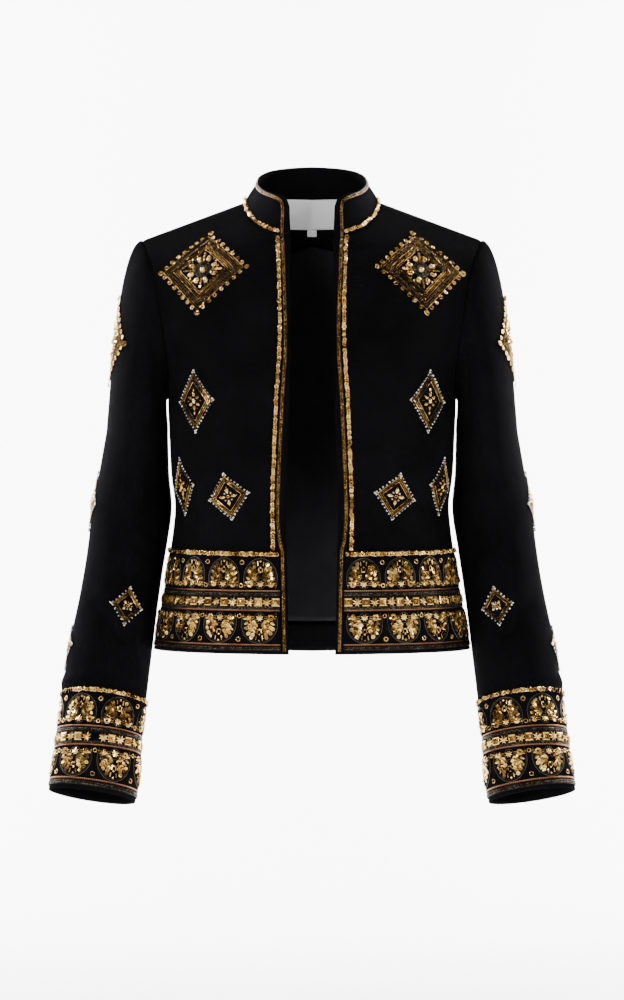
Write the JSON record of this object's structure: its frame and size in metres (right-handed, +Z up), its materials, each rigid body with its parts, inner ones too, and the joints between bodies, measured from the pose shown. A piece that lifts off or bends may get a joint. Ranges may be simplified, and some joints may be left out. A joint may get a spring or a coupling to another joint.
{
  "type": "embellished jacket",
  "caption": "Cropped black stand-collar jacket, open at the front, with gold beaded borders at hem and cuffs and embroidered squares and diamonds, filled out as worn.",
  "frame": {"origin": "centre of the neck base, level with the high points of the shoulders, where the wearer's neck holds the jacket", "axes": "+Z up; the open front faces -Y; +X towards the wearer's left sleeve"},
  "size_m": [0.5804, 0.2471, 0.7161],
  "materials": {
    "shell_cloth": "matte black woven cloth with a faint nap",
    "lining_satin": "dark grey satin",
    "label_satin": "light grey satin",
    "gold_beadwork": "antique gold sequins and beads",
    "pewter_beadwork": "dark pewter and bronze beads"
  },
  "bodies": {
    "root": {"back": "shell_cloth", "collar": "shell_cloth", "collar_edge_trim": "pewter_beadwork", "collar_seam_trim": "gold_beadwork", "cuff_band_left": "gold_beadwork", "cuff_band_right": "gold_beadwork", "cuff_facing_left": "shell_cloth", "cuff_facing_right": "shell_cloth", "diamond_flank_left": "gold_beadwork", "diamond_flank_right": "gold_beadwork", "diamond_forearm_left": "gold_beadwork", "diamond_forearm_right": "gold_beadwork", "diamond_front_left": "gold_beadwork", "diamond_front_right": "gold_beadwork", "diamond_lower_left": "gold_beadwork", "diamond_lower_right": "gold_beadwork", "diamond_side_left": "gold_beadwork", "diamond_side_right": "gold_beadwork", "diamond_sleeve_left": "gold_beadwork", "diamond_sleeve_right": "gold_beadwork", "facing_left": "shell_cloth", "facing_right": "shell_cloth", "front_braid_left": "pewter_beadwork", "front_braid_right": "pewter_beadwork", "front_left": "shell_cloth", "front_right": "shell_cloth", "front_sequins_left": "gold_beadwork", "front_sequins_right": "gold_beadwork", "hem_band_back": "gold_beadwork", "hem_band_left": "gold_beadwork", "hem_band_right": "gold_beadwork", "hem_facing": "shell_cloth", "label": "label_satin", "lining_back": "lining_satin", "neck_facing": "shell_cloth", "size_tab": "label_satin", "sleeve_left": "shell_cloth", "sleeve_right": "shell_cloth", "square_chest_left": "gold_beadwork", "square_chest_right": "gold_beadwork", "square_sleeve_left": "gold_beadwork", "square_sleeve_right": "gold_beadwork"}
  },
  "joints": []
}
